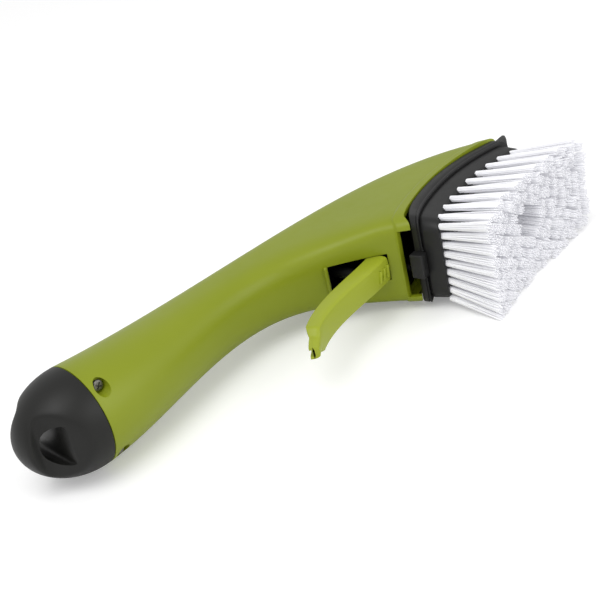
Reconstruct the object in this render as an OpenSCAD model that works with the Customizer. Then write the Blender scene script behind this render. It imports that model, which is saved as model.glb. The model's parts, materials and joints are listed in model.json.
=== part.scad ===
// Soap-dispensing dish wand, lying on its side.
// The plane of symmetry is level. X runs from the cap to the brush head,
// -Y is the trigger side and the side that the bristles point to.

/* [Handle] */
// Radius of the grip at the cap seam
grip_r = 20; // [17:0.5:22]
// Wall of the moulded handle
shell_wall = 2.2; // [1.8:0.1:2.6]
// Half thickness control of the neck, the smaller the slimmer
neck_half = 6; // [4:0.5:9]
// Depth of the round socket for the cap's spigot
socket_depth = 15; // [12:0.5:16]
// Wall left round the cap's socket
socket_wall = 5; // [4.6:0.1:5.4]

/* [End cap] */
// Length of the cap beyond the seam
cap_len = 27; // [24:1:30]
// Straight part of the cap before its dome
cap_straight = 1.5; // [1:0.5:3]
// Distance from the seam at which the cap's two flat faces meet the full radius
pinch_from_seam = 8.6; // [7:0.2:10]
// Thickness of the pinched end between the flat faces
web_t = 6; // [5:0.5:8]
// Distance of the hanging hole's flat side from the seam
hang_from_seam = 13.4; // [12:0.2:14]
// Reach of the hanging hole's round side along the cap
hang_len = 7.8; // [6.6:0.2:8.2]
// Width of the hanging hole at its flat side
hang_w = 17.2; // [14:0.2:17.6]
// Corner radius of the hanging hole
hang_corner = 1.6; // [1.2:0.1:2]
// Diameter of a recess for a cap screw
screw_recess_d = 5; // [4.6:0.1:5.4]
// Distance of the cap screws from the seam
screw_from_seam = 4.5; // [4:0.5:6]
// Angle of each cap screw from the trigger side
screw_angle = 43; // [38:1:46]

/* [Brush head] */
// Length of the mouth and of the brush head
head_len = 82; // [76:1:90]
// Half width of the mouth at the trigger end
mouth_half = 19.6; // [18:0.2:21]
// Half width of the mouth at the scraper end
toe_half = 18.2; // [16:0.2:19]
// Tilt of the mouth from the X axis
head_tilt = 10.6; // [8:0.2:13]
// Rise of the saddle curve that the mouth and the head share
saddle = 7; // [5:0.5:9]
// Thickness of the head's flange
flange_t = 6; // [5:0.5:7]
// Height of the brush block above the flange
block_h = 9; // [8:0.5:11]
// Step of the brush block behind the flange's edge
block_step = 2.2; // [1.6:0.1:3]
// Reach of the scraper lip beyond the mouth
scraper_reach = 7; // [5:0.5:9]

/* [Bristles] */
// Height of the bristles above the brush block at the trigger end
bristle_len = 23; // [18:1:28]
// How much longer the bristles are at the scraper end
bristle_gain = 4; // [0:0.5:5]
// Rows of tufts along the head
tuft_rows = 19; // [15:2:21]
// Tufts in each row
tufts_in_row = 9; // [7:1:9]
// Side of one square strand
strand = 0.9; // [0.7:0.1:1.1]
// Lean of the strands towards the handle, for each mm of height
lean = 0.12; // [0.02:0.02:0.3]
// Sideways spread of the strands at their tips
spread = 0.36; // [0.26:0.02:0.36]
// Radius round the soap outlet that has no tufts
clear_r = 8.5; // [7:0.5:10]

/* [Trigger and pump] */
// Width of the trigger
trigger_w = 11.2; // [10:0.2:12]
// Depth of the trigger's channel at the pin
trigger_depth = 7; // [6:0.5:8]
// Wall of the trigger's channel
trigger_wall = 1.7; // [1.4:0.1:2]
// Diameter of the trigger's pin
pin_d = 3; // [2.4:0.2:3.4]
// Distance from the pin to the pump's axis
pump_arm = 10; // [9:0.5:11]
// Bore of the pump barrel
pump_bore = 9; // [8:0.5:10]
// Wall of the pump barrel
barrel_wall = 1.5; // [1.2:0.1:1.8]
// Outer diameter of the soap tubes
tube_d = 5; // [4.6:0.1:5.4]
// Bore of the soap tubes
tube_bore = 3; // [2.6:0.1:3.2]

/* [Hidden] */

green = "#8f9a30";
dark = "#373735";
black = "#1c1c1c";
steel = "#b9bcc0";
white = "#e9e9ee";
milky = "#cfd6d2";
rubber = "#2a2a2a";

round_fn = 64;
fit = 0.02;
sliding = 0.05;
gap = 0.3;
eps = 0.01;

// Place of the mouth's trigger end, in the plane of symmetry
mouth_x = 139.5;
mouth_y = -37.7;
head_u = [cos(head_tilt), sin(head_tilt)];
mouth_near = [mouth_x, mouth_y];
mouth_far = mouth_near + head_len * head_u;

// Control points of the two rails that bound the handle, and of its half width
front_rail = [[0, -grip_r], [44, -grip_r], [88, 14], [108, -10], mouth_near];
back_rail = [[0, grip_r], [16, grip_r], [90, 18], mouth_far + [-52.1, 58.6], mouth_far];
half_widths = [grip_r, grip_r - 2.2, neck_half, 17, mouth_half];

// Point at s of the curve with five control points
function curve5(c, s) = pow(1 - s, 4) * c[0] + 4 * pow(1 - s, 3) * s * c[1]
    + 6 * pow(1 - s, 2) * s * s * c[2] + 4 * (1 - s) * pow(s, 3) * c[3] + pow(s, 4) * c[4];
// Point at t of the curve with four control points
function curve4(c, t) = pow(1 - t, 3) * c[0] + 3 * pow(1 - t, 2) * t * c[1]
    + 3 * (1 - t) * t * t * c[2] + pow(t, 3) * c[3];
function unit(v) = v / norm(v);
function turned(v) = [-v[1], v[0]];

// Outline with rounded corners: points, their radii and the steps of each arc
function rounded_corner(a, p, b, r, steps) =
    let (ta = unit(a - p),
         tb = unit(b - p),
         half = acos(ta * tb) / 2,
         c = p + unit(ta + tb) * r / sin(half),
         from = p + ta * r / tan(half) - c,
         turn = 180 - 2 * half,
         way = cross(ta, tb) < 0 ? 1 : -1)
    [for (i = [0:steps]) let (q = way * turn * i / steps)
        c + [from[0] * cos(q) - from[1] * sin(q), from[0] * sin(q) + from[1] * cos(q)]];
function rounded(pts, radii, steps) = [for (i = [0:len(pts) - 1])
    let (n = len(pts))
    each radii[i] == 0 ? [pts[i]]
        : rounded_corner(pts[(i + n - 1) % n], pts[i], pts[(i + 1) % n], radii[i], steps)];

// Saddle curve of the mouth, as height over the chord between its ends
saddle_r = (head_len * head_len / 4 + saddle * saddle) / (2 * saddle);
function saddle_y(u) = saddle - saddle_r + sqrt(saddle_r * saddle_r - pow(u - head_len / 2, 2));

// Sections of the handle: rings that grow from a circle to the mouth's rounded rectangle
ring_pts = 48;
stations = 24;
function exponent(s) = 2 + 4 * s * s + 6 * pow(s, 8);
// Point of the ring with exponent e at angle a, in shares of the half sizes
function on_ring(a, e) =
    let (r = pow(pow(abs(cos(a)), e) + pow(abs(sin(a)), e), -1 / e))
    [r * cos(a), r * sin(a)];
function crowded(a, s) = a + 7 * s * sin(4 * a);
function section_bow(s) = saddle * pow(s, 6);
socket_s = 0.07;
function wall_at(s) = s < socket_s ? socket_wall
    : shell_wall + (socket_wall - shell_wall) * max(0, 2 - s / socket_s);
function ring_point(s, a, wall) =
    let (f = curve5(front_rail, s),
         b = curve5(back_rail, s),
         mid = (f + b) / 2,
         half = norm(b - f) / 2,
         dir = unit(b - f),
         q = on_ring(crowded(a, s), exponent(s)),
         c = q[0] * (1 - wall / half),
         spot = mid + dir * half * c + turned(dir) * section_bow(s) * (1 - c * c))
    [spot[0], spot[1], (curve5(half_widths, s) - wall) * q[1]];
function skin(from, share, extra) = [for (i = [from:stations]) for (k = [0:ring_pts - 1])
    ring_point(i / stations, 360 * k / ring_pts, share * wall_at(i / stations) + extra)];

// Trigger slot along the front rail
slot_p0 = curve5(front_rail, 0.785);
slot_p1 = curve5(front_rail, 0.95);
slot_dir = unit(slot_p0 - slot_p1);
slot_in = -turned(slot_dir);
slot_half = trigger_w / 2 + gap;

// Trigger pin, and the well that holds it
pin_x = slot_p1[0] - 1.7;
pin_y = slot_p1[1] + 8.2;
well_depth = shell_wall + 1;
well_wall = 1.5;
well_half = slot_half + well_wall;
well_floor = pin_y + 14.5;
well_top = well_floor + well_wall;
well_p0 = slot_p0 + slot_in * well_depth + slot_dir * 1.6;
well_p1 = slot_p1 + slot_in * well_depth - slot_dir * 2;

// Trigger blade
blade = [[pin_x - 0.6, pin_y - 5.7], [pin_x - 19, pin_y - 11.3], [pin_x - 43, pin_y - 9.4],
    [pin_x - 61, pin_y - 26.6]];
blade_steps = 16;
function blade_half(t) = trigger_depth / 2 - 1.3 * t;
function blade_side(t, d) =
    let (p = curve4(blade, t), q = curve4(blade, min(1, t + 0.01)), r = curve4(blade, max(0, t - 0.01)))
    p + turned(unit(r - q)) * d;
cheek = trigger_w / 2 - trigger_wall;
function web_y(x) = lookup(x, [for (t = [0:0.02:1]) blade_side(t, -blade_half(t) + trigger_wall)]);
knuckle_r = 3.4;

// Pump
pump_x = pin_x - pump_arm;
barrel_r = pump_bore / 2 + barrel_wall;
barrel_len = 17;
barrel_end = well_top + barrel_len;
port_y = well_top + 12.5;
rod_r = 2.5;
foot_y = web_y(pump_x) + 0.2;
piston_y = well_top + 0.6;
piston_h = 5.5;
ring_wire = 0.6;
ring_y = piston_y + piston_h / 2;
barb_r = tube_bore / 2 - fit;
barb_bore = 0.8;
chamber_r = 2.9;
chamber_len = 5;
ball_r = 1.4;
plug_lip = 1.8;

// Cap and its spigot
bore_r = grip_r - socket_wall + 0.2;
spigot_r = bore_r - gap;
spigot_len = socket_depth - 1;
spigot_hollow = 10;
seal_x = spigot_len - 3;
seal_wire = 0.75;
cap_screw_r = 1.1;
cap_head_t = 1.6;
recess_depth = 3.2;
cap_screw_len = 12;
screw_z = grip_r * sin(screw_angle);
seat_y = -grip_r * cos(screw_angle) + recess_depth;

// Mouth wall, nozzle and the tube between pump and nozzle
wall_n = -6.5;
wall_t = 2;
seal_t = 0.8;
wall_u0 = 0.9;
wall_u1 = head_len - 9.6;
wall_side = shell_wall + 1.8;
boss_z = 10.5;
boss_ends = [13, head_len - 17];
boss_len = 6;
outlet_u = head_len / 2;
nozzle_r = 4;
nozzle_tip = flange_t + block_h + 5;
function wall_outline(grow) =
    let (a = wall_u0 - grow, b = wall_u1 + grow, h = mouth_half - wall_side + grow)
    rounded([[a, -h], [b, -h], [b, h], [a, h]], [5 + grow, 6 + grow, 6 + grow, 5 + grow], head_steps);
elbow_r = nozzle_r + 0.4;
elbow_n = wall_n - 1.5 - elbow_r;
elbow = mouth_near + outlet_u * head_u + (saddle - elbow_n) * turned(head_u);
tube_vec = elbow - [pump_x, port_y];
tube_angle = atan2(tube_vec[1], tube_vec[0]);
tube_start = (barrel_r + tube_d / 2 * abs(sin(tube_angle)) + gap) / cos(tube_angle);
barb_len = 6;
intake_end = 24;

// Head
head_steps = 6;
near_corner = 4.5;
far_corner = 7;
function head_half(u) = mouth_half - (mouth_half - toe_half) * pow(max(0, u / head_len - 0.45) / 0.55, 1.6);
function head_outline(inset) =
    let (a = inset, b = head_len - inset, us = [0.5 * head_len, 0.75 * head_len])
    rounded([[a, -head_half(0) + inset], [us[0], -head_half(us[0]) + inset], [us[1], -head_half(us[1]) + inset],
             [b, -head_half(head_len) + inset], [b, head_half(head_len) - inset], [us[1], head_half(us[1]) - inset],
             [us[0], head_half(us[0]) - inset], [a, head_half(0) - inset]],
            [max(1, near_corner - inset / 2), 0, 0, far_corner - inset / 2, far_corner - inset / 2, 0, 0,
             max(1, near_corner - inset / 2)], head_steps);
frame_n = 0.3;
face_n = flange_t + block_h;
slice_t = 0.8;
block_inset = block_step;
skirt_n = -3.6;
skirt_inset = shell_wall + 1;
skirt_wall = 1.6;
screw_spots = [[15, 8], [15, -8], [head_len - 15, 8], [head_len - 15, -8]];

// Latch
latch_half = 7;
latch_n0 = -3.1;
latch_n1 = 5;
latch_out = 1.8;
latch_in = 1.3;
latch_pin_r = 0.8;
latch_pin_u = 0.3;
latch_pin_n = 3.9;
notch_n = -3.5;
notch_half = 15;

// Bristle field
field_inset = block_inset + 0.6;
field_u0 = field_inset;
field_u1 = head_len - field_inset;
row_pitch = (field_u1 - field_u0 - 2.4) / (tuft_rows - 1);
function row_u(r) = field_u0 + 1.2 + r * row_pitch;
function field_half(u) = head_half(u) - field_inset - max(0, 1.6 * (u / head_len - 0.85) / 0.15);
tuft_pitch = 2 * (mouth_half - field_inset - 1) / tufts_in_row;
strand_step = 1.5;

module lying() {
    translate([-mid_x, -mid_y, -ground_z]) children();
}

// Frame of the head: x along the mouth, -y towards the bristles
module at_head() {
    translate([mouth_x, mouth_y, 0]) rotate([0, 0, head_tilt]) children();
}

// Prism of the head's outline between two levels
module head_prism(inset, n0, n1) {
    translate([0, -n0, 0]) rotate([90, 0, 0]) linear_extrude(n1 - n0) polygon(head_outline(inset));
}

// All that lies on the bristle side of the saddle curve at level n
module past_saddle(n) {
    translate([head_len / 2, saddle - saddle_r - n, -40]) cylinder(r = saddle_r, h = 80, $fn = 128);
}

// Outline between two levels, curved like the mouth
module curved_slab(n0, n1) {
    difference() {
        intersection() {
            translate([0, saddle + 2 - n0, 0]) rotate([90, 0, 0]) linear_extrude(n1 - n0 + saddle + 4) children();
            past_saddle(n0);
        }
        past_saddle(n1);
    }
}

module head_slab(inset, n0, n1) {
    curved_slab(n0, n1) polygon(head_outline(inset));
}

// Rod along the bristle direction at u, z from level n0 to n1
module head_rod(u, z, n0, n1, r) {
    translate([u, saddle_y(u) - n0, z]) rotate([90, 0, 0]) cylinder(r = r, h = n1 - n0, $fn = round_fn);
}

// Box of the head between two levels near its trigger end
module head_box(u0, u1, n0, n1, half) {
    translate([u0, -n1, -half]) cube([u1 - u0, n1 - n0, 2 * half]);
}

module rod_x(x0, x1, y, z, r) {
    translate([x0, y, z]) rotate([0, 90, 0]) cylinder(r = r, h = x1 - x0, $fn = round_fn);
}

module rod_y(x, y0, y1, z, r) {
    translate([x, y1, z]) rotate([90, 0, 0]) cylinder(r = r, h = y1 - y0, $fn = round_fn);
}

module rod_z(x, y, half, r) {
    translate([x, y, -half]) cylinder(r = r, h = 2 * half, $fn = round_fn);
}

// Cross recess in a screw head, looking along -y
module cross_slot(size, depth) {
    for (a = [0, 90]) rotate([0, a, 0]) translate([-size / 2, -eps, -0.3]) cube([size, depth, 0.6]);
}

// One closed skin of the hollow handle: outside, inside and the two rims
module handle_body() {
    n = ring_pts;
    m = stations;
    inner = (m + 1) * n;
    outside = [for (i = [0:m - 1]) for (k = [0:n - 1]) each [
        [i * n + k, (i + 1) * n + k, (i + 1) * n + (k + 1) % n],
        [i * n + k, (i + 1) * n + (k + 1) % n, i * n + (k + 1) % n]]];
    inside = [for (i = [0:m - 1]) for (k = [0:n - 1]) each [
        [inner + i * n + k, inner + (i + 1) * n + (k + 1) % n, inner + (i + 1) * n + k],
        [inner + i * n + k, inner + i * n + (k + 1) % n, inner + (i + 1) * n + (k + 1) % n]]];
    rim0 = [for (k = [0:n - 1]) each [
        [k, (k + 1) % n, inner + (k + 1) % n],
        [k, inner + (k + 1) % n, inner + k]]];
    rim1 = [for (k = [0:n - 1]) each [
        [m * n + k, inner + m * n + (k + 1) % n, m * n + (k + 1) % n],
        [m * n + k, inner + m * n + k, inner + m * n + (k + 1) % n]]];
    polyhedron(concat(skin(0, 0, 0), skin(0, 1, 0)), concat(outside, inside, rim0, rim1), convexity = 6);
}

// Box on the slot: along it, into the handle and across
module slot_box(depth0, depth1, half) {
    a = slot_p0 + slot_in * depth0;
    b = slot_p1 + slot_in * depth0;
    c = slot_p1 + slot_in * depth1;
    d = slot_p0 + slot_in * depth1;
    translate([0, 0, -half]) linear_extrude(2 * half) polygon([a, b, c, d]);
}

module handle_shell() color(green) lying() difference() {
    union() {
        handle_body();
        at_head() for (u = boss_ends) for (s = [-1, 1]) wall_boss(u, s);
    }
    rod_x(-1, socket_depth, 0, 0, bore_r);
    slot_box(-4, well_depth + 0.5, slot_half);
    at_head() head_box(-3, skirt_inset, notch_n, 2, notch_half);
    for (s = [-1, 1]) {
        rod_y(screw_from_seam, -grip_r - 5, seat_y, s * screw_z, screw_recess_d / 2);
        rod_y(screw_from_seam, seat_y - eps, 0, s * screw_z, cap_screw_r + 0.15);
    }
    at_head() for (u = boss_ends) for (s = [-1, 1])
        head_rod(u, s * boss_z, wall_n - boss_len + 1, wall_n + 2, cap_screw_r + fit);
}

// Screw boss inside the mouth, webbed to the side wall
function web_z(u) = head_half(u) - shell_wall;
module wall_boss(u, s) {
    difference() {
        union() {
            head_rod(u, s * boss_z, wall_n - boss_len, wall_n + 1, 2.6);
            translate([u - 1, saddle_y(u) - wall_n - 1, s > 0 ? boss_z : -web_z(u)])
                cube([2, boss_len, web_z(u) - boss_z]);
        }
        past_saddle(wall_n);
    }
}

function cap_profile() =
    let (steps = 16)
    concat([[0, 0], [grip_r, 0]],
        [for (i = [0:steps - 1]) let (a = 90 * i / steps)
            [grip_r * cos(a), cap_straight + (cap_len - cap_straight) * sin(a)]],
        [[0, cap_len]]);

// Half moon with its flat side towards the seam
function hang_outline() =
    let (arc = [for (a = [66:-6:-66]) [-hang_from_seam - hang_len * cos(a), hang_w / 2 * sin(a)]])
    rounded(concat([[-hang_from_seam, -hang_w / 2], [-hang_from_seam, hang_w / 2]], arc),
        concat([hang_corner, hang_corner], [for (p = arc) 0]), 8);

// The two flat faces that pinch the dome, down to the web round the hanging hole
pinch_end = hang_from_seam + hang_len + 0.5;
module cap_pinch() {
    for (s = [-1, 1]) translate([0, 0, -grip_r - 1]) linear_extrude(2 * grip_r + 2)
        polygon([[-pinch_from_seam, s * grip_r], [-pinch_end, s * web_t / 2],
                 [-cap_len - 1, s * web_t / 2], [-cap_len - 1, s * grip_r]]);
}

module end_cap() color(dark) lying() difference() {
    union() {
        rotate([0, -90, 0]) rotate_extrude($fn = round_fn) polygon(cap_profile());
        rod_x(-eps, spigot_len, 0, 0, spigot_r);
    }
    cap_pinch();
    translate([0, 30, 0]) rotate([90, 0, 0]) linear_extrude(60) polygon(hang_outline());
    rod_x(4, spigot_len + 1, 0, 0, spigot_hollow);
    difference() {
        rod_x(seal_x - seal_wire - fit, seal_x + seal_wire + fit, 0, 0, spigot_r + 1);
        rod_x(seal_x - 2, seal_x + 2, 0, 0, bore_r - 2 * seal_wire - 2 * fit);
    }
    for (s = [-1, 1]) rod_y(screw_from_seam, -grip_r, seat_y + cap_screw_len + 1, s * screw_z, cap_screw_r + fit);
}

module cap_seal() color(rubber) lying() translate([seal_x, 0, 0]) rotate([0, 90, 0])
    rotate_extrude($fn = round_fn) translate([bore_r - seal_wire - fit, 0]) circle(seal_wire, $fn = 24);

module cap_screws() color(steel) lying() for (s = [-1, 1]) difference() {
    union() {
        rod_y(screw_from_seam, seat_y - cap_head_t, seat_y - fit, s * screw_z, screw_recess_d / 2 - 0.3);
        rod_y(screw_from_seam, seat_y - 1, seat_y + cap_screw_len, s * screw_z, cap_screw_r);
    }
    translate([screw_from_seam, seat_y - cap_head_t, s * screw_z]) cross_slot(2.6, 1);
}

module trigger_well() color(black) lying() difference() {
    translate([0, 0, -well_half]) linear_extrude(2 * well_half)
        polygon([well_p0, [well_p0[0], well_top], [well_p1[0], well_top], well_p1]);
    translate([0, 0, -slot_half]) linear_extrude(2 * slot_half)
        polygon([[well_p0[0] + well_wall, well_p0[1] - 6], [well_p0[0] + well_wall, well_floor],
                 [well_p1[0] - well_wall, well_floor], [well_p1[0] - well_wall, well_p1[1] - 6]]);
    rod_z(pin_x, pin_y, 20, pin_d / 2 + fit);
    rod_y(pump_x, well_floor - 1, well_top + 1, 0, rod_r + sliding);
}

function blade_outline(from, to, outer, inner) =
    let (ts = [for (i = [0:blade_steps]) from + (to - from) * i / blade_steps])
    concat([for (t = ts) blade_side(t, -blade_half(t) + outer)],
           [for (i = [blade_steps:-1:0]) blade_side(ts[i], blade_half(ts[i]) - inner)]);

module trigger() color(green) lying() difference() {
    union() {
        translate([0, 0, -trigger_w / 2]) linear_extrude(trigger_w) polygon(blade_outline(0, 1, 0, 0));
        rod_z(pin_x, pin_y, trigger_w / 2, knuckle_r);
        trigger_ribs();
    }
    translate([0, 0, -cheek]) linear_extrude(2 * cheek)
        polygon(blade_outline(0.03, 0.94, trigger_wall, -10));
    rod_z(pin_x, pin_y, trigger_w, pin_d / 2 + sliding);
    rod_z(pin_x, pin_y, cheek, knuckle_r + 2);
}

// Three raised grip ribs on the outer face beside the pin
module trigger_ribs() {
    for (t = [0.09, 0.14, 0.19]) {
        p = blade_side(t, -blade_half(t) - 0.5);
        q = curve4(blade, t + 0.01) - curve4(blade, t - 0.01);
        translate([p[0], p[1], 0]) rotate([0, 0, atan2(q[1], q[0])]) translate([-0.5, -1, -2.6])
            cube([1, 1.5, 5.2]);
    }
}

module trigger_pin() color(steel) lying() rod_z(pin_x, pin_y, well_half, pin_d / 2);

// Coil of the return spring and its leg in the trigger's channel
coil_r = 2.5;
coil_wire = 0.35;
coil_turns = 4;
coil_step = 8;
coil_sides = 6;
coil_pitch = 1.2;
coil_count = coil_turns * coil_step;
function coil_ring(i) =
    let (a = 360 * i / coil_step + 200, z = (i / coil_step - coil_turns / 2) * coil_pitch)
    [for (k = [0:coil_sides - 1]) let (b = 360 * k / coil_sides, r = coil_r + coil_wire * cos(b))
        [pin_x + r * cos(a), pin_y + r * sin(a), z + coil_wire * sin(b)]];

module return_spring() color(steel) lying() {
    n = coil_sides;
    pts = [for (i = [0:coil_count]) each coil_ring(i)];
    walls = [for (i = [0:coil_count - 1]) for (k = [0:n - 1]) each [
        [i * n + k, i * n + (k + 1) % n, (i + 1) * n + (k + 1) % n],
        [i * n + k, (i + 1) * n + (k + 1) % n, (i + 1) * n + k]]];
    ends = [[for (k = [n - 1:-1:0]) k], [for (k = [0:n - 1]) coil_count * n + k]];
    polyhedron(pts, concat(walls, ends), convexity = 10);
}

module pump_barrel() color(milky) lying() difference() {
    union() {
        rod_y(pump_x, well_top, barrel_end, 0, barrel_r);
        rod_y(pump_x, well_top, well_top + 1.5, 0, barrel_r + 1);
        rod_x(pump_x - barrel_r - chamber_len, pump_x, port_y, 0, chamber_r);
        rod_x(pump_x - barrel_r - chamber_len - barb_len, pump_x, port_y, 0, barb_r);
        translate([pump_x, port_y, 0]) rotate([0, 0, tube_angle]) rod_x(0, barrel_r + barb_len, 0, 0, barb_r);
    }
    rod_y(pump_x, well_top - 1, barrel_end + 1, 0, pump_bore / 2);
    rod_x(pump_x - barrel_r - chamber_len - barb_len - 1, pump_x, port_y, 0, barb_bore);
    rod_x(pump_x - barrel_r - chamber_len + 1.5, pump_x - pump_bore / 2 - 1, port_y, 0, ball_r + 0.1);
    translate([pump_x, port_y, 0]) rotate([0, 0, tube_angle]) rod_x(0, barrel_r + barb_len + 1, 0, 0, barb_bore);
}

module barrel_plug() color(black) lying() {
    rod_y(pump_x, barrel_end - plug_lip, barrel_end + eps, 0, pump_bore / 2 - fit);
    rod_y(pump_x, barrel_end, barrel_end + 1.5, 0, barrel_r);
}

module plunger() color(black) lying() difference() {
    union() {
        rod_y(pump_x, foot_y + rod_r, piston_y + 1, 0, rod_r);
        translate([pump_x, foot_y + rod_r, 0]) sphere(rod_r, $fn = round_fn);
        rod_y(pump_x, piston_y, piston_y + piston_h, 0, pump_bore / 2 - sliding);
    }
    difference() {
        rod_y(pump_x, ring_y - ring_wire - fit, ring_y + ring_wire + fit, 0, pump_bore);
        rod_y(pump_x, ring_y - 2, ring_y + 2, 0, pump_bore / 2 - 2 * ring_wire - 2 * fit);
    }
}

module piston_ring() color(rubber) lying() translate([pump_x, ring_y, 0]) rotate([90, 0, 0])
    rotate_extrude($fn = round_fn) translate([pump_bore / 2 - ring_wire - fit, 0]) circle(ring_wire, $fn = 24);

module inlet_ball() color(steel) lying()
    translate([pump_x - barrel_r - chamber_len + 1.5 + ball_r + fit, port_y, 0]) sphere(ball_r, $fn = round_fn);

module intake_tube() color(milky) lying() difference() {
    rod_x(intake_end, pump_x - barrel_r - chamber_len - gap, port_y, 0, tube_d / 2);
    rod_x(intake_end - 1, pump_x - barrel_r, port_y, 0, tube_bore / 2);
}

module delivery_tube() color(milky) lying()
    translate([pump_x, port_y, 0]) rotate([0, 0, tube_angle]) difference() {
        rod_x(tube_start, norm(tube_vec) - elbow_r - gap, 0, 0, tube_d / 2);
        rod_x(0, norm(tube_vec), 0, 0, tube_bore / 2);
    }

module nozzle() color(milky) lying() difference() {
    union() {
        at_head() {
            head_rod(outlet_u, 0, wall_n - 1.5, wall_n, nozzle_r + 3);
            head_rod(outlet_u, 0, elbow_n, nozzle_tip, nozzle_r);
        }
        translate([elbow[0], elbow[1], 0]) {
            rod_z(0, 0, elbow_r, elbow_r);
            rotate([0, 0, tube_angle]) rod_x(-elbow_r - barb_len, 0, 0, 0, barb_r);
        }
    }
    at_head() head_rod(outlet_u, 0, elbow_n, nozzle_tip + 1, barb_bore);
    at_head() head_rod(outlet_u, 0, nozzle_tip - 5, nozzle_tip + 1, nozzle_r - 1);
    translate([elbow[0], elbow[1], 0]) rotate([0, 0, tube_angle]) rod_x(-20, 0, 0, 0, barb_bore - 0.1);
}

module outlet_valve() color(rubber) lying() at_head() difference() {
    head_rod(outlet_u, 0, nozzle_tip - 4.9, nozzle_tip + 1, nozzle_r - 1 - fit);
    head_rod(outlet_u, 0, nozzle_tip - 6, nozzle_tip - 1, 1.6);
    translate([outlet_u - 1.8, saddle - nozzle_tip - 2, -0.15]) cube([3.6, 4, 0.3]);
}

module mouth_wall() color(black) lying() at_head() difference() {
    curved_slab(wall_n, wall_n + wall_t) polygon(wall_outline(0));
    head_rod(outlet_u, 0, wall_n - 1, wall_n + wall_t + 1, nozzle_r + fit);
    for (u = boss_ends) for (s = [-1, 1]) head_rod(u, s * boss_z, wall_n - 2, wall_n + 4, cap_screw_r + 0.25);
}

module wall_seal() color(rubber) lying() at_head()
    curved_slab(wall_n + 0.3, wall_n + wall_t - 0.3) difference() {
        polygon(wall_outline(seal_t));
        polygon(wall_outline(fit));
    }

module wall_screws() color(steel) lying() at_head() for (u = boss_ends) for (s = [-1, 1]) difference() {
    union() {
        head_rod(u, s * boss_z, wall_n - boss_len + 1.5, wall_n + wall_t + 1, cap_screw_r);
        head_rod(u, s * boss_z, wall_n + wall_t + 0.55, wall_n + wall_t + 1.85, 2.1);
    }
    translate([u, saddle_y(u) - wall_n - wall_t - 1.85, s * boss_z]) cross_slot(2.4, 0.9);
}

module head_frame() color(dark) lying() at_head() difference() {
    union() {
        head_slab(0, frame_n, flange_t);
        difference() {
            head_slab(skirt_inset + gap, skirt_n, frame_n + eps);
            head_prism(skirt_inset + gap + skirt_wall, skirt_n - 12, frame_n + 1);
            head_box(head_len - 7, head_len, skirt_n - 9, frame_n - 1.4, 40);
        }
        scraper();
        rear_hook();
    }
    head_slab(block_inset + 4, flange_t - 3, flange_t + 2);
    head_rod(outlet_u, 0, -2, flange_t + 1, nozzle_r + 2 * gap);
    head_box(-3, latch_in + 0.7, skirt_n - 1, latch_n1 + 0.4, latch_half + 0.4);
    head_box(-3, skirt_inset + 3, skirt_n - 1, frame_n + 1.2, latch_half + 0.4);
    rod_z(latch_pin_u, -latch_pin_n, latch_half + 3, latch_pin_r + fit);
    for (p = screw_spots) {
        head_rod(p[0], p[1], -2, 1.6, 2.3);
        head_rod(p[0], p[1], 0, flange_t, cap_screw_r + 0.15);
    }
}

// Scraper lip that runs out of the flange at the far end
module scraper() {
    half = toe_half - far_corner + 4.5;
    translate([0, 0, -half]) linear_extrude(2 * half)
        polygon([[head_len - 1.8, -frame_n], [head_len + scraper_reach, -frame_n],
                 [head_len + scraper_reach, -frame_n - 1], [head_len - 0.5, -flange_t],
                 [head_len - 1.8, -flange_t]]);
}

// Hook that rests against the back of the handle at the far end
module rear_hook() {
    half = 8;
    translate([0, 0, -half]) linear_extrude(2 * half)
        polygon([[head_len + 0.4, -frame_n - 1], [head_len + 0.4, 4.5], [head_len + 2.2, 3.5],
                 [head_len + 3.4, -frame_n - 1]]);
}

module brush_block() color(dark) lying() at_head() difference() {
    union() {
        head_slab(block_inset, flange_t, face_n - slice_t);
        head_slab(block_inset + 4 + gap, flange_t - 2.9, flange_t + eps);
    }
    head_rod(outlet_u, 0, 0, face_n + 1, nozzle_r + 2 * gap);
    for (p = screw_spots) head_rod(p[0], p[1], 0, flange_t + 6, cap_screw_r + fit);
}

module block_screws() color(steel) lying() at_head() for (p = screw_spots) difference() {
    union() {
        head_rod(p[0], p[1], 0.3, 1.6, 2.1);
        head_rod(p[0], p[1], 1.5, flange_t + 5, cap_screw_r);
    }
    translate([p[0], saddle_y(p[0]) - 0.3 + eps, p[1]]) mirror([0, 1, 0]) cross_slot(2.4, 0.9);
}

module release_latch() color(dark) lying() at_head() difference() {
    union() {
        head_box(-latch_out, latch_in, latch_n0, latch_n1, latch_half);
        head_box(latch_in - eps, skirt_inset - 0.1, latch_n0, latch_n0 + 2, latch_half - 3);
        head_box(skirt_inset - 0.8, skirt_inset - 0.1 + 0.5, latch_n0 - 1.1, latch_n0 + 2, latch_half - 3);
    }
    rod_z(latch_pin_u, -latch_pin_n, 20, latch_pin_r + sliding);
}

module latch_pin() color(steel) lying() at_head() rod_z(latch_pin_u, -latch_pin_n, latch_half + 2.8, latch_pin_r);

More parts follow.
